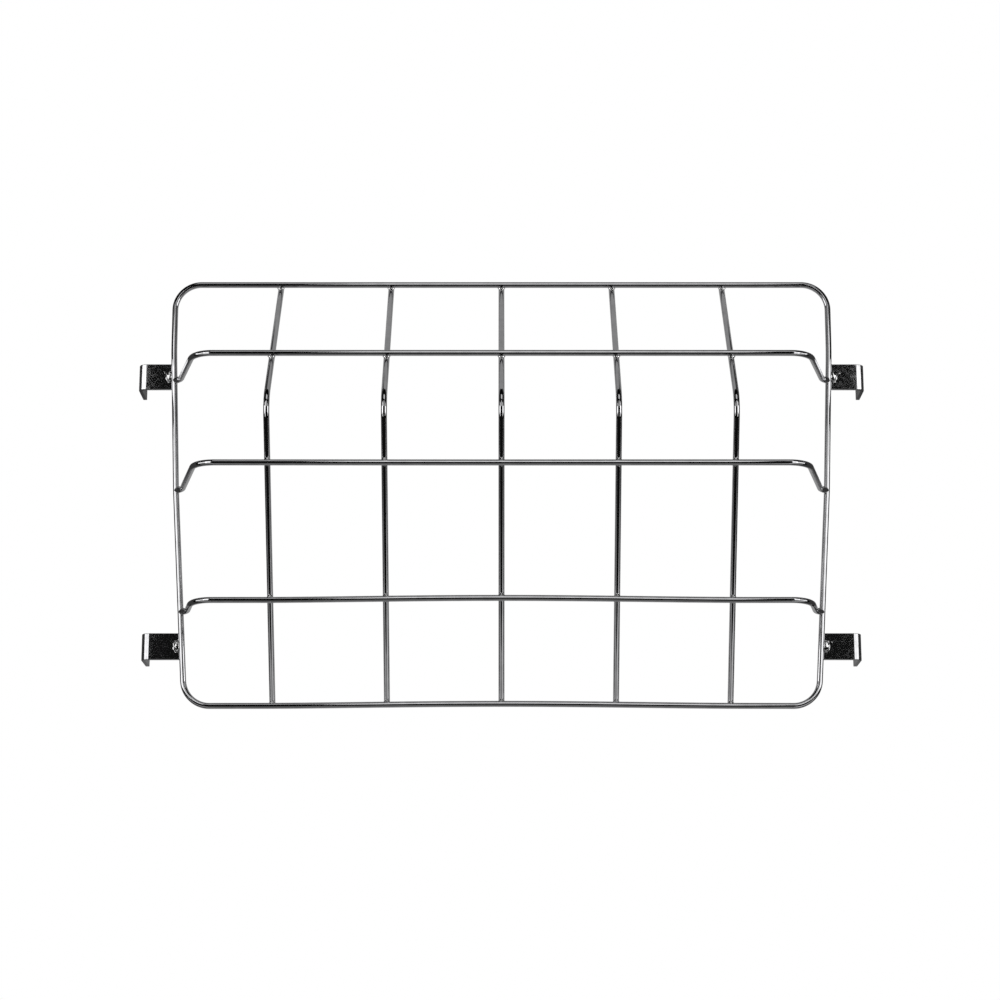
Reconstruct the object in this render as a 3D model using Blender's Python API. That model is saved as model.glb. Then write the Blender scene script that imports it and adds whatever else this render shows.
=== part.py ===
"""A chromed wire guard for a truck's headlamp, lying on the tips of its four clip legs.

+X runs along the guard's length, +Y to its steeper edge, and +Z out of its front. The origin is on the
plane of the leg tips, at the middle of the guard. Every wire is one round section, and welds join them.
"""

import math

import bmesh
import bpy
from mathutils import Matrix, Vector

# Stock
WIRE_RADIUS = 0.00225
BAR_WIDTH = 0.020
BAR_THICKNESS = 0.003
GAP = 0.0003
WELD_GAP = 0.00045
WIRE_PITCH = 2 * WIRE_RADIUS + GAP  # centre to centre where one wire lies on another

# Clips: a plate behind the rim, and a leg bent back from it
LEG_LENGTH = 0.030  # from the plate's front face to the tip
CLIP_BEND_RADIUS = 0.006  # outer
UPPER_CLIP = Vector((0.2777, 0.0909))  # outer face of the leg, middle of the bar
LOWER_CLIP = Vector((0.2690, -0.1185))

# Rim: straight at the top, its sides taper to the bottom, and its bottom bows in a little
RIM_Z = LEG_LENGTH + GAP + WIRE_RADIUS
RIM_HALF_HEIGHT = 0.1638
RIM_CORNER_RADIUS = 0.020
RIM_SIDE = (
    Vector((0.2508, RIM_HALF_HEIGHT)),
    Vector((0.2506, 0.110)),
    Vector((0.2459, 0.0)),
    Vector((0.2350, -RIM_HALF_HEIGHT)),
)  # half widths down one side
SIDE_BEND_RADIUS = 0.400
RIM_BOTTOM_BOW = 0.0016

# Upright wires
UPRIGHT_X = (-0.170, -0.085, 0.0, 0.085, 0.170)
CREST_Y = 0.0429  # where an upright's two straight lengths would meet
CREST_Z = RIM_Z + 0.100
CREST_BEND_RADIUS = 0.019

# Cross wires: where each meets the uprights' centre line, its shoulder and its feet
CROSS_WIRES = {
    "upper": {"y": 0.0858, "bow": 0.0, "shoulder_x": 0.2275, "foot_shift": -0.0022},
    "middle": {"y": 0.0029, "bow": 0.0, "shoulder_x": 0.2222, "foot_shift": -0.0002},
    "lower": {"y": -0.0892, "bow": 0.0016, "shoulder_x": 0.2270, "foot_shift": -0.0018},
}
SHOULDER_BEND_RADIUS = 0.018
FOOT_BEND_RADIUS = 0.010
FOOT_RISE = 0.0055  # height of the foot's bend over the rim's centre line, and its distance inside it
FOOT_ANGLE = math.radians(45)
FOOT_REACH = WIRE_RADIUS + GAP  # the foot's end face stands this far from the rim's centre line

# Welds
CROSSING_WELD_RADIUS = 0.0031
FOOT_WELD_RADIUS = 0.0034
CLIP_WELD_SIZE = (0.0027, 0.0048, 0.0026)  # half lengths, the longest along the rim
CLIP_WELD_CENTRE = Vector((0.0040, 0.0, -0.0015))  # from the rim's centre line

# Mesh fineness
WIRE_BEVEL_RESOLUTION = 3
ARC_STEP = math.radians(15)
CUTTER_SIDES = 20
CUTTER_LENGTH = 0.020

CHROME = {"Base Color": (0.56, 0.57, 0.58, 1.0), "Metallic": 1.0, "Roughness": 0.08}
WELD_METAL = {"Base Color": (0.62, 0.62, 0.62, 1.0), "Metallic": 1.0, "Roughness": 0.22}


def material(name, settings):
    made = bpy.data.materials.new(name)
    made.use_nodes = True
    shader = made.node_tree.nodes["Principled BSDF"]
    for socket, value in settings.items():
        shader.inputs[socket].default_value = value
    made.diffuse_color = settings["Base Color"]
    return made


def add_object(name, data, matrix=None):
    """Link one named object of the guard, placed by the matrix."""
    made = bpy.data.objects.new(name, data)
    if matrix is not None:
        made.matrix_world = matrix
    bpy.data.collections["headlamp_guard"].objects.link(made)


def arc(corner, before, after, radius):
    """Points of the arc that rounds one corner of a path."""
    to_before = (before - corner).normalized()
    to_after = (after - corner).normalized()
    half = to_before.angle(to_after) / 2
    turn = math.pi - 2 * half
    centre = corner + (to_before + to_after).normalized() * (radius / math.sin(half))
    first = corner + to_before * (radius / math.tan(half)) - centre
    axis = to_after.cross(to_before)
    steps = max(1, math.ceil(turn / ARC_STEP))
    return [centre + Matrix.Rotation(turn * i / steps, 3, axis) @ first for i in range(steps + 1)]


def rounded_path(corners, radii, closed=False):
    """A path through the corners, each rounded by its radius; an end or a radius of 0 stays a point."""
    points = []
    count = len(corners)
    for i, (corner, radius) in enumerate(zip(corners, radii)):
        is_end = not closed and i in (0, count - 1)
        if is_end or radius == 0:
            points.append(corner)
        else:
            points.extend(arc(corner, corners[i - 1], corners[(i + 1) % count], radius))
    return points


def straight_spline_curve(name, points, closed):
    """A chromed curve with one spline of straight lines through the points."""
    curve = bpy.data.curves.new(name, "CURVE")
    curve.materials.append(material(name + "_chrome", CHROME))
    spline = curve.splines.new("POLY")
    spline.points.add(len(points) - 1)
    for spline_point, point in zip(spline.points, points):
        spline_point.co = (*point, 1.0)
    spline.use_cyclic_u = closed
    return curve


def wire(name, points, closed=False):
    """A round wire along the points."""
    curve = straight_spline_curve(name, points, closed)
    curve.dimensions = "3D"
    curve.bevel_depth = WIRE_RADIUS
    curve.bevel_resolution = WIRE_BEVEL_RESOLUTION
    curve.use_fill_caps = True
    add_object(name, curve)


def bow(x):
    """Share of a bow's rise at x: all of it in the middle, none beyond the outer uprights."""
    reach = 1.2 * UPRIGHT_X[-1]
    return math.cos(math.pi / 2 * min(1.0, abs(x) / reach)) ** 2


def rim_bottom_y(x):
    return -RIM_HALF_HEIGHT + RIM_BOTTOM_BOW * bow(x)


def rim_side(y):
    """Half width of the rim at y, and how far its right side leans from +Y there, as a turn about Z."""
    for upper, lower in zip(RIM_SIDE, RIM_SIDE[1:]):
        if lower.y <= y:
            break
    run = upper - lower
    return lower.x + run.x * (y - lower.y) / run.y, -math.atan2(run.x, run.y)


def rim():
    side_radii = (RIM_CORNER_RADIUS, SIDE_BEND_RADIUS, SIDE_BEND_RADIUS, RIM_CORNER_RADIUS)
    right = [Vector((p.x, p.y, RIM_Z)) for p in RIM_SIDE]
    left = [Vector((-p.x, p.y, RIM_Z)) for p in reversed(RIM_SIDE)]
    bottom = [Vector((x, rim_bottom_y(x), RIM_Z)) for x in reversed(UPRIGHT_X)]
    corners = right + bottom + left
    radii = (*side_radii, *(0 for _ in bottom), *reversed(side_radii))
    wire("rim", rounded_path(corners, radii, closed=True), closed=True)


def upright_slope(x, y):
    """The slope of the upright at x, as a turn about X: each straight length passes just under the rim."""
    below_crest = y < CREST_Y
    rim_y = rim_bottom_y(x) if below_crest else RIM_HALF_HEIGHT
    run = abs(rim_y - CREST_Y)
    rise = CREST_Z - RIM_Z
    slope = math.atan2(rise, run) + math.asin(WIRE_PITCH / math.hypot(run, rise))
    return slope if below_crest else -slope


def upright_centre(x, y):
    """The point of the upright's centre line at y, with its crest unrounded."""
    return Vector((x, y, CREST_Z + (y - CREST_Y) * math.tan(upright_slope(x, y))))


def upright(index, x):
    corners = [upright_centre(x, y) for y in (RIM_HALF_HEIGHT, CREST_Y, rim_bottom_y(x))]
    wire(f"upright_{index}", rounded_path(corners, (0, CREST_BEND_RADIUS, 0)))


def on_slope(point, slope):
    """A frame at the point whose Z axis stands square to a length with this slope."""
    return Matrix.Translation(point) @ Matrix.Rotation(slope, 4, "X")


def crossing_frame(x, cross):
    """The frame on the upright at x where a cross wire lies on it."""
    y = cross["y"] + cross["bow"] * bow(x)
    return on_slope(upright_centre(x, y), upright_slope(x, y))


def foot_y(cross):
    return (crossing_frame(UPRIGHT_X[-1], cross) @ Vector((0, 0, WIRE_PITCH))).y + cross["foot_shift"]


def cross_wire(name, cross):
    level = [crossing_frame(x, cross) @ Vector((0, 0, WIRE_PITCH)) for x in UPRIGHT_X]
    y = foot_y(cross)
    rim_x, _ = rim_side(y)
    shoulder = Vector((cross["shoulder_x"], level[-1].y, level[-1].z))
    knee = Vector((rim_x - FOOT_RISE, y, RIM_Z + FOOT_RISE))
    reach = Vector((math.cos(FOOT_ANGLE), 0, -math.sin(FOOT_ANGLE))) * FOOT_REACH
    end = Vector((rim_x, y, RIM_Z)) - reach
    right = [shoulder, knee, end]
    left = [Vector((-p.x, p.y, p.z)) for p in reversed(right)]
    right_radii = (SHOULDER_BEND_RADIUS, FOOT_BEND_RADIUS, 0)
    radii = (*reversed(right_radii), *(0 for _ in level), *right_radii)
    wire(f"cross_wire_{name}", rounded_path(left + level + right, radii))


def facing(side):
    """Turns a piece made for the right side of the guard to its own side."""
    return Matrix.Rotation(0 if side > 0 else math.pi, 4, "Z")


def clip(name, side, place):
    """A flat bar bent to an L: its outline in X and Z, extruded to the bar's width."""
    inner_end = rim_side(place.y)[0] - WIRE_RADIUS / 2 - place.x  # under the rim, out of sight
    corner = Vector((0, 0, 0))
    plate = Vector((inner_end, 0, 0))
    tip = Vector((0, -LEG_LENGTH, 0))
    outer = arc(corner, plate, tip, CLIP_BEND_RADIUS)
    inset = Vector((-BAR_THICKNESS, -BAR_THICKNESS, 0))
    inner = arc(corner + inset, plate + inset, tip + inset, CLIP_BEND_RADIUS - BAR_THICKNESS)
    back_end = Vector((inner_end, -BAR_THICKNESS, 0))
    inner_tip = Vector((-BAR_THICKNESS, -LEG_LENGTH, 0))
    outline = [plate, *outer, tip, inner_tip, *reversed(inner), back_end]
    curve = straight_spline_curve(name, outline, closed=True)
    curve.dimensions = "2D"
    curve.fill_mode = "BOTH"
    curve.extrude = BAR_WIDTH / 2
    stand = Matrix.Rotation(math.pi / 2, 4, "X")
    move = Matrix.Translation((side * place.x, place.y, LEG_LENGTH))
    add_object(name, curve, move @ facing(side) @ stand)


def helper(shape, name):
    """A mesh object for a Boolean, outside the guard's collection, from a bmesh that it uses up."""
    mesh = bpy.data.meshes.new(name)
    shape.to_mesh(mesh)
    shape.free()
    made = bpy.data.objects.new(name, mesh)
    made.hide_render = True
    made.display_type = "WIRE"
    bpy.data.collections["cutters"].objects.link(made)
    return made


def wire_cutter(direction, centre):
    """A straight piece of wire with the welds' gap around it."""
    turn = Vector((0, 0, 1)).rotation_difference(direction).to_matrix().to_4x4()
    shape = bmesh.new()
    bmesh.ops.create_cone(
        shape,
        cap_ends=True,
        segments=CUTTER_SIDES,
        radius1=WIRE_RADIUS + WELD_GAP,
        radius2=WIRE_RADIUS + WELD_GAP,
        depth=CUTTER_LENGTH,
        matrix=Matrix.Translation(centre) @ turn,
    )
    return helper(shape, "wire_cutter")


def weld_mesh(name, centre, size, cutters):
    """A round blank with these half lengths, cut back from what it joins; the cutters are removed."""
    shape = bmesh.new()
    matrix = Matrix.Translation(centre) @ Matrix.Diagonal((*size, 1.0))
    bmesh.ops.create_icosphere(shape, subdivisions=2, radius=1.0, matrix=matrix)
    blank = helper(shape, name)
    for cutter in cutters:
        blank.modifiers.new("cut", "BOOLEAN").object = cutter
    depsgraph = bpy.context.evaluated_depsgraph_get()
    mesh = bpy.data.meshes.new_from_object(blank.evaluated_get(depsgraph))
    mesh.shade_smooth()
    mesh.materials.append(material(name + "_metal", WELD_METAL))
    for used in (blank, *cutters):
        bpy.data.objects.remove(used)
    return mesh


def crossing_weld_mesh():
    """Metal around the origin, where a wire along X lies on a wire along Y."""
    above = wire_cutter(Vector((1, 0, 0)), Vector((0, 0, WIRE_PITCH / 2)))
    below = wire_cutter(Vector((0, 1, 0)), Vector((0, 0, -WIRE_PITCH / 2)))
    return weld_mesh("crossing_weld", Vector((0, 0, 0)), (CROSSING_WELD_RADIUS,) * 3, (above, below))


def foot_weld_mesh():
    """Metal around a cross wire's end face where it meets the rim, whose centre is the origin."""
    inward = Vector((-math.cos(FOOT_ANGLE), 0, math.sin(FOOT_ANGLE)))
    along_rim = wire_cutter(Vector((0, 1, 0)), Vector((0, 0, 0)))
    along_foot = wire_cutter(inward, inward * (FOOT_REACH - GAP + CUTTER_LENGTH / 2))
    size = (FOOT_WELD_RADIUS,) * 3
    return weld_mesh("foot_weld", inward * FOOT_REACH, size, (along_rim, along_foot))


def clip_weld_mesh():
    """A bead in the corner between the rim, whose centre is the origin, and the plate behind it."""
    along_rim = wire_cutter(Vector((0, 1, 0)), Vector((0, 0, 0)))
    shape = bmesh.new()
    below_bead = Matrix.Translation((0, 0, -WIRE_RADIUS - CUTTER_LENGTH / 2))
    bmesh.ops.create_cube(shape, size=CUTTER_LENGTH, matrix=below_bead)
    plate = helper(shape, "plate_cutter")
    return weld_mesh("clip_weld", CLIP_WELD_CENTRE, CLIP_WELD_SIZE, (along_rim, plate))


def crossing_welds():
    """One weld at each crossing, and one at each upright's two ends under the rim."""
    mesh = crossing_weld_mesh()
    half_pitch = Matrix.Translation((0, 0, WIRE_PITCH / 2))
    for index, x in enumerate(UPRIGHT_X, 1):
        for name, cross in CROSS_WIRES.items():
            add_object(f"crossing_weld_{name}_{index}", mesh, crossing_frame(x, cross) @ half_pitch)
        for name, y in (("top", RIM_HALF_HEIGHT), ("bottom", rim_bottom_y(x))):
            rim_frame = on_slope(Vector((x, y, RIM_Z)), upright_slope(x, y))
            add_object(f"rim_weld_{name}_{index}", mesh, rim_frame @ half_pitch.inverted())


def side_matrix(side, y):
    """Places a weld made for the right side of the rim on either side at y."""
    x, lean = rim_side(y)
    return Matrix.Translation((side * x, y, RIM_Z)) @ facing(side) @ Matrix.Rotation(side * lean, 4, "Z")


def side_welds():
    """The welds at the cross wires' feet and at the clips."""
    foot_mesh = foot_weld_mesh()
    clip_mesh = clip_weld_mesh()
    for side_name, side in (("left", -1), ("right", 1)):
        for name, cross in CROSS_WIRES.items():
            matrix = side_matrix(side, foot_y(cross))
            add_object(f"foot_weld_{name}_{side_name}", foot_mesh, matrix)
        for name, place in (("upper", UPPER_CLIP), ("lower", LOWER_CLIP)):
            matrix = side_matrix(side, place.y)
            add_object(f"clip_weld_{name}_{side_name}", clip_mesh, matrix)


def main():
    for old in list(bpy.data.objects):
        bpy.data.objects.remove(old)
    for name in ("headlamp_guard", "cutters"):
        bpy.context.scene.collection.children.link(bpy.data.collections.new(name))
    rim()
    for index, x in enumerate(UPRIGHT_X, 1):
        upright(index, x)
    for name, cross in CROSS_WIRES.items():
        cross_wire(name, cross)
    for side_name, side in (("left", -1), ("right", 1)):
        clip(f"clip_upper_{side_name}", side, UPPER_CLIP)
        clip(f"clip_lower_{side_name}", side, LOWER_CLIP)
    crossing_welds()
    side_welds()
    bpy.data.collections.remove(bpy.data.collections["cutters"])


main()
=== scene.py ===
"""The looks of a chromed wire headlamp guard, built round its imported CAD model.

Every wire, clip and weld is rebuilt smooth over its own CAD solid, in the CAD's frame: +X along the guard,
+Y to its steeper edge, +Z out of its front, and the tips of the clip legs at Z = 0. Lengths are in metres.
"""

import math

import bmesh
import bpy
from mathutils import Matrix, Vector, noise


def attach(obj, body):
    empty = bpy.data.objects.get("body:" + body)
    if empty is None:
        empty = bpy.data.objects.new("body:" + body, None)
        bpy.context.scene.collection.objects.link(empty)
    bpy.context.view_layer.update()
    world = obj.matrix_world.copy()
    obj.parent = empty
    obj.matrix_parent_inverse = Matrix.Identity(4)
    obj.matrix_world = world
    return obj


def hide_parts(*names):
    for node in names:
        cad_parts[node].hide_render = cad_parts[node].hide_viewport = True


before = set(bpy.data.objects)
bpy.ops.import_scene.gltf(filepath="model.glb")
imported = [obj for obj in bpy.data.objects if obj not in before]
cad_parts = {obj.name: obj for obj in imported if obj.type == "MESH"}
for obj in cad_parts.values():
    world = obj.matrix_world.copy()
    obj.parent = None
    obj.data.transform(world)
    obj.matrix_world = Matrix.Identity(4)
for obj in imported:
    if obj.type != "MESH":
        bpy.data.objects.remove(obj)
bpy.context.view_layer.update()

# Stock
WIRE_RADIUS = 0.00225
BAR_WIDTH = 0.020
BAR_THICKNESS = 0.003
GAP = 0.0003  # between two wires that are welded together
WIRE_PITCH = 2 * WIRE_RADIUS + GAP  # centre to centre where one wire lies on another

# Clips
LEG_LENGTH = 0.030  # from the plate's front face to the tip
CLIP_BEND_RADIUS = 0.006  # outer
UPPER_CLIP = Vector((0.2777, 0.0909))  # outer face of the leg, middle of the bar
LOWER_CLIP = Vector((0.2690, -0.1185))
BAR_EDGE_RADIUS = 0.0004
BAR_EDGE_SEGMENTS = 3
BAR_EDGE_ANGLE = math.radians(40)  # edges sharper than this are rounded

# Rim
RIM_Z = LEG_LENGTH + GAP + WIRE_RADIUS
RIM_HALF_HEIGHT = 0.1638
RIM_CORNER_RADIUS = 0.020
RIM_SIDE = (
    Vector((0.2508, RIM_HALF_HEIGHT)),
    Vector((0.2506, 0.110)),
    Vector((0.2459, 0.0)),
    Vector((0.2350, -RIM_HALF_HEIGHT)),
)  # half widths down one side
SIDE_BEND_RADIUS = 0.400
RIM_BOTTOM_BOW = 0.0016

# Upright wires
UPRIGHT_X = (-0.170, -0.085, 0.0, 0.085, 0.170)
BOW_REACH = 1.2 * UPRIGHT_X[-1]  # where the bow of a wire across the guard ends
CREST_Y = 0.0429  # where an upright's two straight lengths would meet
CREST_Z = RIM_Z + 0.100
CREST_BEND_RADIUS = 0.019

# Cross wires: where each meets the uprights' centre line, its shoulder and its feet
CROSS_WIRES = {
    "upper": {"y": 0.0858, "bow": 0.0, "shoulder_x": 0.2275, "foot_shift": -0.0022},
    "middle": {"y": 0.0029, "bow": 0.0, "shoulder_x": 0.2222, "foot_shift": -0.0002},
    "lower": {"y": -0.0892, "bow": 0.0016, "shoulder_x": 0.2270, "foot_shift": -0.0018},
}
SHOULDER_BEND_RADIUS = 0.018
FOOT_BEND_RADIUS = 0.010
FOOT_RISE = 0.0055  # height of the foot's bend over the rim's centre line, and its distance inside it
FOOT_ANGLE = math.radians(45)
FOOT_REACH = WIRE_RADIUS + GAP  # the foot's end face stands this far from the rim's centre line

# Welds, before they are melted into the wires they join
HIDDEN_DEPTH = 0.00006  # how far the metal that carries a weld stays inside the piece it stands for
CORE_RADIUS = WIRE_RADIUS - HIDDEN_DEPTH
CORE_LENGTH = 0.0046  # to either side of a weld's middle
FOOT_CORE_START = 0.0005  # from the rim's centre line
FOOT_CORE_END = FOOT_REACH + 0.0020
FOOT_NUGGET_REACH = FOOT_REACH + 0.0015  # from the rim's centre line to the nugget's middle
CLIP_CORE_LENGTH = 1.3 * CORE_LENGTH
CROSSING_NUGGET = (0.0030, 0.0030, 0.0015)  # half lengths, as are the next two
FOOT_NUGGET = (0.0019, 0.0026, 0.0022)
CLIP_BEAD = (0.0026, 0.0044, 0.0025)
CLIP_BEAD_CENTRE = Vector((0.0040, 0.0, -0.0015))  # from the rim's centre line
CLIP_SLAB = (0.011, 0.014, 0.0024)  # the piece of plate that a clip's bead lies on
CLIP_SLAB_X = 0.0045  # its middle, from the rim's centre line
WELD_VOXEL = 0.00025
WELD_SMOOTHING = {"factor": 0.5, "iterations": 10}
WELD_RIPPLE = 0.00012
WELD_RIPPLE_SCALE = 700.0

# Mesh fineness
LEVEL_STEPS = 24  # along the wires that cross the guard
WIRE_SIDES = 32
ARC_STEP = math.radians(3)
END_CHAMFER = 0.0004
SHARP_ANGLE = math.radians(35)
BALL_SEGMENTS = 24

# Wear of the plating: where in a noise from 0 to 1 it starts, and where it is full
WEAR_ROUGHENS = (0.45, 0.75)
WEAR_DARKENS = (0.40, 0.80)
WORN_SHADE = 0.80  # of the plating's colour
WEAR_DETAIL = 4.0
RIPPLE_DETAIL = 1.0
GRAIN_DETAIL = 3.0

# Camera
CAMERA_POSITION = Vector((-0.0011, -0.4665, 1.9098))
CAMERA_TILT = math.radians(13.76)  # from straight down
CAMERA_LENS = 92.16
SENSOR_WIDTH = 36.0

# Studio: the camera sees a white page, and the chrome sees a room
PAGE_WHITE = 1.0
FLOOR_SIZE = 12.0
FLOOR_Z = -0.0002
FLOOR_IN_CHROME = 0.40  # under the guard
DARK_FLOOR_IN_CHROME = 0.06  # beyond its sides
FLOOR_DARKENS = (0.240, 0.280)  # metres either side of the middle
WALLS = 0.05
FRONT_WALL = 0.38  # towards -Y
FRONT_WALL_BLEND = (-0.45, -0.15)  # Y of the direction, from all front wall to none
CEILING = 0.140
CEILING_BLEND = (0.20, 0.50)  # Z of the direction, from all walls to all ceiling

# Light panels: they face straight down or the guard, and a turn is about Z, in radians
SOFTBOXES = {
    "left": {"centre": (-0.475, 0.045, 0.50), "size": (0.23, 0.50), "radiance": 1.65, "faces": "down"},
    "right": {"centre": (0.475, 0.045, 0.50), "size": (0.23, 0.50), "radiance": 1.65, "faces": "down"},
    "clip_left": {
        "centre": (-0.530, 0.166, 0.13),
        "size": (0.42, 0.034),
        "radiance": 2.0,
        "faces": "down",
        "turn": -0.25,
    },
    "clip_right": {
        "centre": (0.530, 0.166, 0.13),
        "size": (0.42, 0.034),
        "radiance": 2.0,
        "faces": "down",
        "turn": 0.25,
    },
    "side_left": {"centre": (-2.0, 0.10, 1.25), "size": (0.9, 1.5), "radiance": 1.85, "faces": "guard"},
    "side_right": {"centre": (2.0, 0.10, 1.25), "size": (0.9, 1.5), "radiance": 1.85, "faces": "guard"},
    "high_left": {"centre": (-2.0, 1.10, 2.65), "size": (0.70, 2.5), "radiance": 0.40, "faces": "guard"},
    "high_right": {"centre": (2.0, 1.10, 2.65), "size": (0.70, 2.5), "radiance": 0.22, "faces": "guard"},
    "back": {"centre": (0.23, 2.95, 7.45), "size": (1.75, 3.1), "radiance": 1.5, "faces": "guard"},
    "far_back": {"centre": (0.30, 3.06, 2.57), "size": (2.8, 1.4), "radiance": 0.85, "faces": "guard"},
    "front": {"centre": (0.0, -1.94, 1.0), "size": (0.9, 1.8), "radiance": 0.26, "faces": "down"},
    "front_left": {"centre": (-1.75, -1.97, 1.0), "size": (2.6, 1.8), "radiance": 0.50, "faces": "down"},
    "front_right": {"centre": (1.75, -1.92, 1.0), "size": (2.6, 1.8), "radiance": 0.75, "faces": "down"},
}


# ---- Paths ----


def arc(corner, before, after, radius):
    """Points of the arc that rounds one corner of a path."""
    to_before = (before - corner).normalized()
    to_after = (after - corner).normalized()
    half = to_before.angle(to_after) / 2
    turn = math.pi - 2 * half
    centre = corner + (to_before + to_after).normalized() * (radius / math.sin(half))
    first = corner + to_before * (radius / math.tan(half)) - centre
    axis = to_after.cross(to_before)
    steps = max(2, math.ceil(turn / ARC_STEP))
    return [centre + Matrix.Rotation(turn * i / steps, 3, axis) @ first for i in range(steps + 1)]


def rounded_path(corners, radii, closed=False):
    """A path through the corners, each rounded by its radius; an end or a radius of 0 stays a point."""
    points = []
    count = len(corners)
    for i, (corner, radius) in enumerate(zip(corners, radii)):
        is_end = not closed and i in (0, count - 1)
        if is_end or radius == 0:
            points.append(corner)
        else:
            points.extend(arc(corner, corners[i - 1], corners[(i + 1) % count], radius))
    return points


def bow(x):
    """Share of a bow's rise at x: all of it in the middle, none beyond the outer uprights."""
    return math.cos(math.pi / 2 * min(1.0, abs(x) / BOW_REACH)) ** 2


def level_x(start):
    """Places along a wire across the guard, from one outer upright to the other."""
    return [start * (1 - 2 * i / LEVEL_STEPS) for i in range(LEVEL_STEPS + 1)]


def rim_bottom_y(x):
    return -RIM_HALF_HEIGHT + RIM_BOTTOM_BOW * bow(x)


def rim_side(y):
    """Half width of the rim at y, and how far its right side leans from +Y there, as a turn about Z."""
    for upper, lower in zip(RIM_SIDE, RIM_SIDE[1:]):
        if lower.y <= y:
            break
    run = upper - lower
    return lower.x + run.x * (y - lower.y) / run.y, -math.atan2(run.x, run.y)


def upright_slope(x, y):
    """The slope of the upright at x, as a turn about X: each straight length passes just under the rim."""
    below_crest = y < CREST_Y
    rim_y = rim_bottom_y(x) if below_crest else RIM_HALF_HEIGHT
    run = abs(rim_y - CREST_Y)
    rise = CREST_Z - RIM_Z
    slope = math.atan2(rise, run) + math.asin(WIRE_PITCH / math.hypot(run, rise))
    return slope if below_crest else -slope


def upright_centre(x, y):
    """The point of the upright's centre line at y, with its crest unrounded."""
    return Vector((x, y, CREST_Z + (y - CREST_Y) * math.tan(upright_slope(x, y))))


def on_slope(point, slope):
    """A frame at the point whose Z axis stands square to a length with this slope."""
    return Matrix.Translation(point) @ Matrix.Rotation(slope, 4, "X")


def crossing_frame(x, cross):
    """The frame on the upright at x where a cross wire lies on it."""
    y = cross["y"] + cross["bow"] * bow(x)
    return on_slope(upright_centre(x, y), upright_slope(x, y))


def foot_y(cross):
    """Where a cross wire's feet stand: near the y of its straight length."""
    return (crossing_frame(UPRIGHT_X[-1], cross) @ Vector((0, 0, WIRE_PITCH))).y + cross["foot_shift"]


# ---- Materials ----


def chrome(name, colour, roughness, ripple, grain, wear):
    """Bright plating. Ripple is the slow unevenness under it, grain its fine pits, and wear its dull spots.

    Ripple and grain are pairs: features in a metre, and depth in metres. Wear is a pair too: spots in a
    metre, and how much rougher they are.
    """
    made = bpy.data.materials.new(name)
    made.use_nodes = True
    nodes, links = made.node_tree.nodes, made.node_tree.links
    shader = nodes["Principled BSDF"]
    shader.inputs["Metallic"].default_value = 1.0
    coordinates = nodes.new("ShaderNodeTexCoord")

    def noise_texture(scale, detail):
        texture = nodes.new("ShaderNodeTexNoise")
        texture.inputs["Scale"].default_value = scale
        texture.inputs["Detail"].default_value = detail
        links.new(coordinates.outputs["Object"], texture.inputs["Vector"])
        return texture.outputs["Fac"]

    def ramp(value, low, high, at_low, at_high):
        mapped = nodes.new("ShaderNodeMapRange")
        for socket, number in zip(("From Min", "From Max", "To Min", "To Max"), (low, high, at_low, at_high)):
            mapped.inputs[socket].default_value = number
        links.new(value, mapped.inputs["Value"])
        return mapped.outputs["Result"]

    def bump(height, depth, under=None):
        node = nodes.new("ShaderNodeBump")
        node.inputs["Distance"].default_value = depth
        links.new(height, node.inputs["Height"])
        if under is not None:
            links.new(under, node.inputs["Normal"])
        return node.outputs["Normal"]

    dull = noise_texture(wear[0], WEAR_DETAIL)
    links.new(ramp(dull, *WEAR_ROUGHENS, roughness, roughness + wear[1]), shader.inputs["Roughness"])
    tint = nodes.new("ShaderNodeMix")
    tint.data_type = "RGBA"
    links.new(ramp(dull, *WEAR_DARKENS, 0.0, 1.0), tint.inputs["Factor"])
    tint.inputs["A"].default_value = (*colour, 1.0)
    tint.inputs["B"].default_value = (*(part * WORN_SHADE for part in colour), 1.0)
    links.new(tint.outputs["Result"], shader.inputs["Base Color"])
    slow = bump(noise_texture(ripple[0], RIPPLE_DETAIL), ripple[1])
    links.new(bump(noise_texture(grain[0], GRAIN_DETAIL), grain[1], slow), shader.inputs["Normal"])
    return made


def studio_floor():
    """A white page to the camera; the chrome sees it grey under the guard, and dark beyond its sides."""
    made = bpy.data.materials.new("studio_floor")
    made.use_nodes = True
    nodes, links = made.node_tree.nodes, made.node_tree.links
    nodes.clear()
    output = nodes.new("ShaderNodeOutputMaterial")
    path = nodes.new("ShaderNodeLightPath")
    page = nodes.new("ShaderNodeEmission")
    page.inputs["Strength"].default_value = PAGE_WHITE
    grey = nodes.new("ShaderNodeEmission")
    place = nodes.new("ShaderNodeTexCoord")
    parts = nodes.new("ShaderNodeSeparateXYZ")
    links.new(place.outputs["Object"], parts.inputs["Vector"])
    away = nodes.new("ShaderNodeMath")
    away.operation = "ABSOLUTE"
    links.new(parts.outputs["X"], away.inputs[0])
    shade = nodes.new("ShaderNodeMapRange")
    shade.inputs["From Min"].default_value = FLOOR_DARKENS[0]
    shade.inputs["From Max"].default_value = FLOOR_DARKENS[1]
    shade.inputs["To Min"].default_value = FLOOR_IN_CHROME
    shade.inputs["To Max"].default_value = DARK_FLOOR_IN_CHROME
    links.new(away.outputs["Value"], shade.inputs["Value"])
    links.new(shade.outputs["Result"], grey.inputs["Strength"])
    choose = nodes.new("ShaderNodeMixShader")
    links.new(path.outputs["Is Camera Ray"], choose.inputs["Fac"])
    links.new(grey.outputs["Emission"], choose.inputs[1])
    links.new(page.outputs["Emission"], choose.inputs[2])
    links.new(choose.outputs["Shader"], output.inputs["Surface"])
    return made


# ---- Pieces ----


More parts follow.
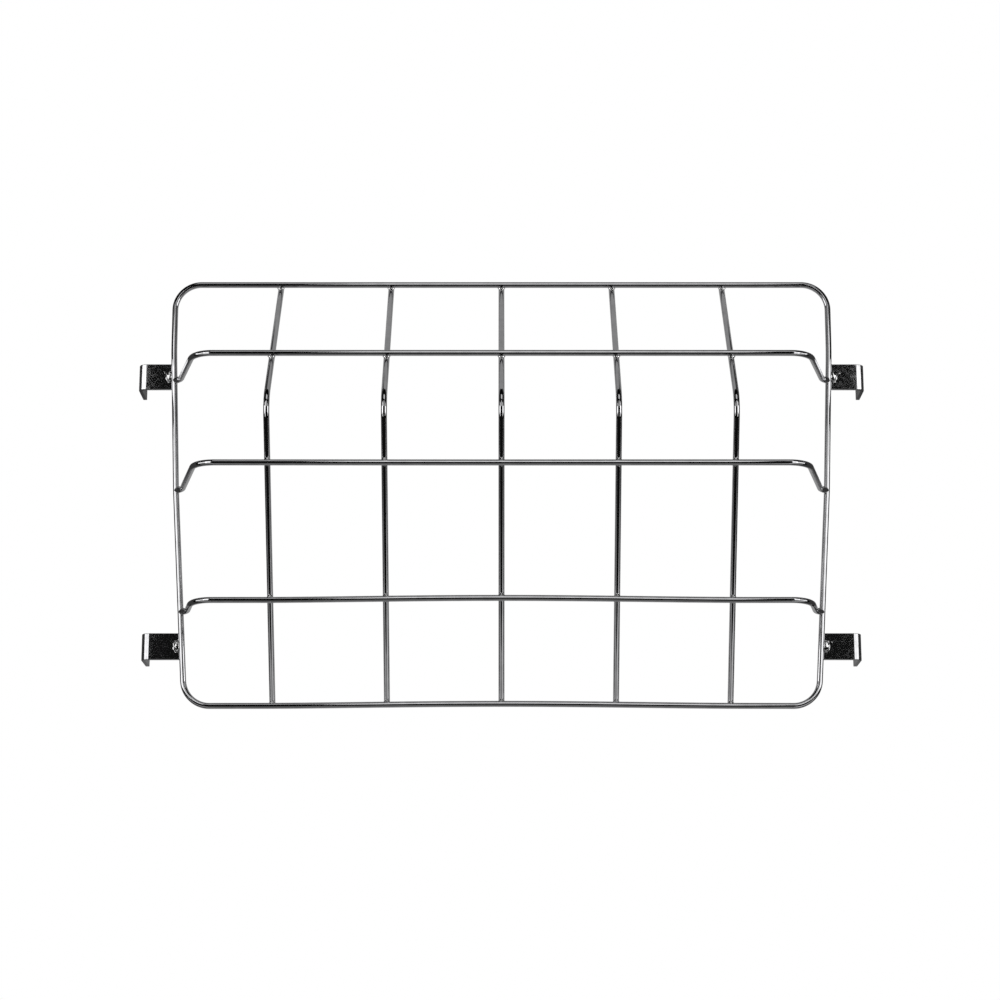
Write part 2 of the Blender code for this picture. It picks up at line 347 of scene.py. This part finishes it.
def add_piece(node, mesh, finish):
    """One smooth piece that stands for a CAD node of the same name."""
    mesh.materials.append(finish)
    piece = bpy.data.objects.new("plated_" + node, mesh)
    bpy.context.scene.collection.objects.link(piece)
    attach(piece, "root")
    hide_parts(node)


def mesh_from(shape, name):
    """The bmesh as a mesh; the bmesh is freed."""
    mesh = bpy.data.meshes.new(name)
    shape.to_mesh(mesh)
    shape.free()
    return mesh


def ring(shape, centre, across, up, radius):
    """New vertices evenly round a circle."""
    angles = [math.tau * i / WIRE_SIDES for i in range(WIRE_SIDES)]
    return [shape.verts.new(centre + (across * math.cos(a) + up * math.sin(a)) * radius) for a in angles]


def join_rings(shape, first, second):
    for i in range(WIRE_SIDES):
        j = (i + 1) % WIRE_SIDES
        shape.faces.new((first[i], first[j], second[j], second[i]))


def wire_mesh(name, points, closed):
    """A round wire along a path, its cut ends lightly chamfered."""
    shape = bmesh.new()
    count = len(points)
    rings = []
    across = None
    for i, point in enumerate(points):
        ahead = points[(i + 1) % count] if closed or i < count - 1 else point
        behind = points[i - 1] if closed or i > 0 else point
        into = (point - behind).normalized()
        out_of = (ahead - point).normalized()
        tangent = (into + out_of).normalized()
        if across is None:
            across = tangent.orthogonal().normalized()
        across = (across - tangent * across.dot(tangent)).normalized()
        up = tangent.cross(across)
        if not closed and i in (0, count - 1):
            inward = tangent if i == 0 else -tangent
            small = ring(shape, point, across, up, WIRE_RADIUS - END_CHAMFER)
            full = ring(shape, point + inward * END_CHAMFER, across, up, WIRE_RADIUS)
            rings.extend((small, full) if i == 0 else (full, small))
        else:
            rings.append(ring(shape, point, across, up, WIRE_RADIUS))
    for first, second in zip(rings, rings[1:]):
        join_rings(shape, first, second)
    if closed:
        join_rings(shape, rings[-1], rings[0])
    else:
        shape.faces.new(list(reversed(rings[0])))
        shape.faces.new(rings[-1])
    bmesh.ops.recalc_face_normals(shape, faces=shape.faces)
    mesh = mesh_from(shape, name)
    mesh.shade_smooth()
    mesh.set_sharp_from_angle(angle=SHARP_ANGLE)
    return mesh


def rim():
    side_radii = (RIM_CORNER_RADIUS, SIDE_BEND_RADIUS, SIDE_BEND_RADIUS, RIM_CORNER_RADIUS)
    right = [Vector((p.x, p.y, RIM_Z)) for p in RIM_SIDE]
    left = [Vector((-p.x, p.y, RIM_Z)) for p in reversed(RIM_SIDE)]
    bottom = [Vector((x, rim_bottom_y(x), RIM_Z)) for x in level_x(UPRIGHT_X[-1])]
    radii = (*side_radii, *(0 for _ in bottom), *reversed(side_radii))
    points = rounded_path(right + bottom + left, radii, closed=True)
    add_piece("rim", wire_mesh("plated_rim", points, True), WIRE_CHROME)


def upright(index, x):
    corners = [upright_centre(x, y) for y in (RIM_HALF_HEIGHT, CREST_Y, rim_bottom_y(x))]
    points = rounded_path(corners, (0, CREST_BEND_RADIUS, 0))
    name = f"upright_{index}"
    add_piece(name, wire_mesh("plated_" + name, points, False), WIRE_CHROME)


def cross_wire(name, cross):
    level = [crossing_frame(x, cross) @ Vector((0, 0, WIRE_PITCH)) for x in level_x(UPRIGHT_X[0])]
    y = foot_y(cross)
    rim_x, _ = rim_side(y)
    shoulder = Vector((cross["shoulder_x"], level[-1].y, level[-1].z))
    knee = Vector((rim_x - FOOT_RISE, y, RIM_Z + FOOT_RISE))
    reach = Vector((math.cos(FOOT_ANGLE), 0, -math.sin(FOOT_ANGLE))) * FOOT_REACH
    end = Vector((rim_x, y, RIM_Z)) - reach
    right = [shoulder, knee, end]
    left = [Vector((-p.x, p.y, p.z)) for p in reversed(right)]
    right_radii = (SHOULDER_BEND_RADIUS, FOOT_BEND_RADIUS, 0)
    radii = (*reversed(right_radii), *(0 for _ in level), *right_radii)
    node = f"cross_wire_{name}"
    points = rounded_path(left + level + right, radii)
    add_piece(node, wire_mesh("plated_" + node, points, False), WIRE_CHROME)


def facing(side):
    """Turns a piece made for the right side of the guard to its own side."""
    return Matrix.Rotation(0 if side > 0 else math.pi, 4, "Z")


def applied(shape, name, modifiers):
    """The mesh of a bmesh after some modifiers: (type, settings) pairs."""
    holder = bpy.data.objects.new(name, mesh_from(shape, name))
    bpy.context.scene.collection.objects.link(holder)
    for kind, settings in modifiers:
        modifier = holder.modifiers.new(kind, kind)
        for key, value in settings.items():
            setattr(modifier, key, value)
    depsgraph = bpy.context.evaluated_depsgraph_get()
    mesh = bpy.data.meshes.new_from_object(holder.evaluated_get(depsgraph))
    bpy.data.objects.remove(holder)
    return mesh


def clip(name, side, place):
    """A flat bar bent to an L, its edges rounded as rolled bar is."""
    inner_end = rim_side(place.y)[0] - WIRE_RADIUS / 2 - place.x  # under the rim, out of sight
    corner = Vector((0, 0, 0))
    plate = Vector((inner_end, 0, 0))
    tip = Vector((0, 0, -LEG_LENGTH))
    outer = arc(corner, plate, tip, CLIP_BEND_RADIUS)
    inset = Vector((-BAR_THICKNESS, 0, -BAR_THICKNESS))
    inner = arc(corner + inset, plate + inset, tip + inset, CLIP_BEND_RADIUS - BAR_THICKNESS)
    back_end = Vector((inner_end, 0, -BAR_THICKNESS))
    inner_tip = Vector((-BAR_THICKNESS, 0, -LEG_LENGTH))
    outline = [plate, *outer, tip, inner_tip, *reversed(inner), back_end]
    shape = bmesh.new()
    half = Vector((0, BAR_WIDTH / 2, 0))
    face = shape.faces.new([shape.verts.new(point - half) for point in outline])
    grown = bmesh.ops.extrude_face_region(shape, geom=[face])["geom"]
    moved = [part for part in grown if isinstance(part, bmesh.types.BMVert)]
    bmesh.ops.translate(shape, verts=moved, vec=half * 2)
    bmesh.ops.recalc_face_normals(shape, faces=shape.faces)
    bevel = {
        "width": BAR_EDGE_RADIUS,
        "segments": BAR_EDGE_SEGMENTS,
        "limit_method": "ANGLE",
        "angle_limit": BAR_EDGE_ANGLE,
        "harden_normals": True,
    }
    for part in shape.faces:
        part.smooth = True
    mesh = applied(shape, "plated_" + name, [("BEVEL", bevel)])
    mesh.transform(Matrix.Translation((side * place.x, place.y, LEG_LENGTH)) @ facing(side))
    add_piece(name, mesh, CLIP_CHROME)


# ---- Welds ----


def rod(shape, start, end):
    """A length of the hidden core of a wire, as a separate body of the shape."""
    along = end - start
    turn = Vector((0, 0, 1)).rotation_difference(along).to_matrix().to_4x4()
    bmesh.ops.create_cone(
        shape,
        cap_ends=True,
        segments=BALL_SEGMENTS,
        radius1=CORE_RADIUS,
        radius2=CORE_RADIUS,
        depth=along.length,
        matrix=Matrix.Translation((start + end) / 2) @ turn,
    )


def ball(shape, centre, size):
    bmesh.ops.create_uvsphere(
        shape,
        u_segments=BALL_SEGMENTS,
        v_segments=BALL_SEGMENTS // 2,
        radius=1.0,
        matrix=Matrix.Translation(centre) @ Matrix.Diagonal((*size, 1.0)),
    )


def melted(shape, name):
    """One smooth body of overlapping bodies, with their inside corners filled like melted metal."""
    remesh = {"mode": "VOXEL", "voxel_size": WELD_VOXEL, "use_smooth_shade": True}
    return applied(shape, name, [("REMESH", remesh), ("SMOOTH", WELD_SMOOTHING)])


def crossing_weld_shape():
    """Round the origin, where a wire along X lies on a wire along Y."""
    shape = bmesh.new()
    above = Vector((0, 0, WIRE_PITCH / 2))
    along_x = Vector((CORE_LENGTH, 0, 0))
    along_y = Vector((0, CORE_LENGTH, 0))
    rod(shape, above - along_x, above + along_x)
    rod(shape, -above - along_y, -above + along_y)
    ball(shape, Vector((0, 0, 0)), CROSSING_NUGGET)
    return melted(shape, "crossing_weld")


def rim_weld_shape():
    """Round the origin, where the rim along X lies on the end of a wire that comes from +Y."""
    shape = bmesh.new()
    above = Vector((0, 0, WIRE_PITCH / 2))
    along_x = Vector((CORE_LENGTH, 0, 0))
    rod(shape, above - along_x, above + along_x)
    rod(shape, -above + Vector((0, END_CHAMFER, 0)), -above + Vector((0, CORE_LENGTH, 0)))
    ball(shape, Vector((0, 0, 0)), CROSSING_NUGGET)
    return melted(shape, "rim_weld")


def foot_weld_shape():
    """Round a cross wire's end face where it meets the rim, whose centre is the origin."""
    shape = bmesh.new()
    inward = Vector((-math.cos(FOOT_ANGLE), 0, math.sin(FOOT_ANGLE)))
    along_y = Vector((0, CORE_LENGTH, 0))
    rod(shape, -along_y, along_y)
    rod(shape, inward * FOOT_CORE_START, inward * FOOT_CORE_END)
    ball(shape, inward * FOOT_NUGGET_REACH, FOOT_NUGGET)
    return melted(shape, "foot_weld")


def clip_weld_shape():
    """A bead in the corner between the rim, whose centre is the origin, and the plate behind it."""
    shape = bmesh.new()
    along_y = Vector((0, CLIP_CORE_LENGTH, 0))
    rod(shape, -along_y, along_y)
    ball(shape, CLIP_BEAD_CENTRE, CLIP_BEAD)
    slab_top = -WIRE_RADIUS - GAP - HIDDEN_DEPTH
    slab_centre = Matrix.Translation((CLIP_SLAB_X, 0, slab_top - CLIP_SLAB[2] / 2))
    bmesh.ops.create_cube(shape, size=1.0, matrix=slab_centre @ Matrix.Diagonal((*CLIP_SLAB, 1.0)))
    return melted(shape, "clip_weld")


def add_weld(node, base, matrix):
    """A copy of a weld in its place, with its own uneven surface."""
    mesh = base.copy()
    mesh.name = "plated_" + node
    mesh.transform(matrix)
    moves = [v.normal * WELD_RIPPLE * noise.noise(v.co * WELD_RIPPLE_SCALE) for v in mesh.vertices]
    for vertex, move in zip(mesh.vertices, moves):
        vertex.co += move
    add_piece(node, mesh, WELD_CHROME)


def crossing_welds():
    """One weld at each crossing, and one at each upright's two ends under the rim."""
    crossing = crossing_weld_shape()
    at_rim = rim_weld_shape()
    half_pitch = Matrix.Translation((0, 0, WIRE_PITCH / 2))
    for index, x in enumerate(UPRIGHT_X, 1):
        for name, cross in CROSS_WIRES.items():
            add_weld(f"crossing_weld_{name}_{index}", crossing, crossing_frame(x, cross) @ half_pitch)
        for name, y, side in (("top", RIM_HALF_HEIGHT, -1), ("bottom", rim_bottom_y(x), 1)):
            place = on_slope(Vector((x, y, RIM_Z)), upright_slope(x, y)) @ half_pitch.inverted()
            add_weld(f"rim_weld_{name}_{index}", at_rim, place @ facing(side))


def side_matrix(side, y):
    """Places a weld made for the right side of the rim on either side at y."""
    x, lean = rim_side(y)
    return Matrix.Translation((side * x, y, RIM_Z)) @ facing(side) @ Matrix.Rotation(side * lean, 4, "Z")


def side_welds():
    """The welds at the cross wires' feet and at the clips."""
    foot = foot_weld_shape()
    bead = clip_weld_shape()
    for side_name, side in (("left", -1), ("right", 1)):
        for name, cross in CROSS_WIRES.items():
            add_weld(f"foot_weld_{name}_{side_name}", foot, side_matrix(side, foot_y(cross)))
        for name, place in (("upper", UPPER_CLIP), ("lower", LOWER_CLIP)):
            add_weld(f"clip_weld_{name}_{side_name}", bead, side_matrix(side, place.y))


# ---- Studio ----


def floor():
    shape = bmesh.new()
    bmesh.ops.create_grid(shape, x_segments=1, y_segments=1, size=FLOOR_SIZE / 2)
    mesh = mesh_from(shape, "floor")
    mesh.materials.append(studio_floor())
    made = bpy.data.objects.new("floor", mesh)
    bpy.context.scene.collection.objects.link(made)
    made.location.z = FLOOR_Z


def softbox(name, centre, size, radiance, faces, turn=0.0):
    """An even light panel that the camera doesn't see, only its reflections."""
    light = bpy.data.lights.new("softbox_" + name, "AREA")
    light.shape = "RECTANGLE"
    light.size, light.size_y = size
    light.energy = radiance * math.pi * size[0] * size[1]  # the power of a panel with this radiance
    made = bpy.data.objects.new(light.name, light)
    made.location = centre
    made.rotation_euler.z = turn
    if faces == "guard":
        made.rotation_euler = Vector(centre).to_track_quat("Z", "Y").to_euler()
    made.visible_camera = False
    bpy.context.scene.collection.objects.link(made)


def room():
    """Dark walls, a grey front wall and a dim ceiling round the chrome, and white for the camera."""
    world = bpy.data.worlds.new("room")
    bpy.context.scene.world = world
    world.use_nodes = True
    nodes, links = world.node_tree.nodes, world.node_tree.links
    background = nodes["Background"]
    direction = nodes.new("ShaderNodeTexCoord")
    parts = nodes.new("ShaderNodeSeparateXYZ")
    links.new(direction.outputs["Generated"], parts.inputs["Vector"])

    def blend_range(value, low, high, at_low, at_high):
        """A soft step; each end is a number or another node's output."""
        node = nodes.new("ShaderNodeMapRange")
        node.interpolation_type = "SMOOTHSTEP"
        node.inputs["From Min"].default_value = low
        node.inputs["From Max"].default_value = high
        for socket, level in (("To Min", at_low), ("To Max", at_high)):
            if isinstance(level, float):
                node.inputs[socket].default_value = level
            else:
                links.new(level, node.inputs[socket])
        links.new(value, node.inputs["Value"])
        return node.outputs["Result"]

    walls = blend_range(parts.outputs["Y"], *FRONT_WALL_BLEND, FRONT_WALL, WALLS)
    seen_in_chrome = blend_range(parts.outputs["Z"], *CEILING_BLEND, walls, CEILING)
    path = nodes.new("ShaderNodeLightPath")
    seen = blend_range(path.outputs["Is Camera Ray"], 0.0, 1.0, seen_in_chrome, PAGE_WHITE)
    links.new(seen, background.inputs["Strength"])


def camera():
    data = bpy.data.cameras.new("camera")
    data.sensor_width = SENSOR_WIDTH
    data.lens = CAMERA_LENS
    made = bpy.data.objects.new("camera", data)
    made.location = CAMERA_POSITION
    made.rotation_euler = (CAMERA_TILT, 0.0, 0.0)
    bpy.context.scene.collection.objects.link(made)
    bpy.context.scene.camera = made


WIRE_CHROME = chrome(
    "wire_chrome",
    colour=(0.55, 0.55, 0.56),
    roughness=0.03,
    ripple=(30.0, 0.00002),
    grain=(1100.0, 0.0000002),
    wear=(120.0, 0.03),
)
CLIP_CHROME = chrome(
    "clip_chrome",
    colour=(0.55, 0.55, 0.56),
    roughness=0.06,
    ripple=(110.0, 0.00002),
    grain=(900.0, 0.000012),
    wear=(300.0, 0.05),
)
WELD_CHROME = chrome(
    "weld_chrome",
    colour=(0.66, 0.66, 0.66),
    roughness=0.06,
    ripple=(300.0, 0.00003),
    grain=(1500.0, 0.000003),
    wear=(500.0, 0.08),
)

camera()
rim()
for upright_index, upright_x in enumerate(UPRIGHT_X, 1):
    upright(upright_index, upright_x)
for cross_name, cross_place in CROSS_WIRES.items():
    cross_wire(cross_name, cross_place)
for clip_side_name, clip_side in (("left", -1), ("right", 1)):
    clip(f"clip_upper_{clip_side_name}", clip_side, UPPER_CLIP)
    clip(f"clip_lower_{clip_side_name}", clip_side, LOWER_CLIP)
crossing_welds()
side_welds()
floor()
for softbox_name, softbox_settings in SOFTBOXES.items():
    softbox(softbox_name, **softbox_settings)
room()
bpy.context.scene.view_settings.view_transform = "Standard"
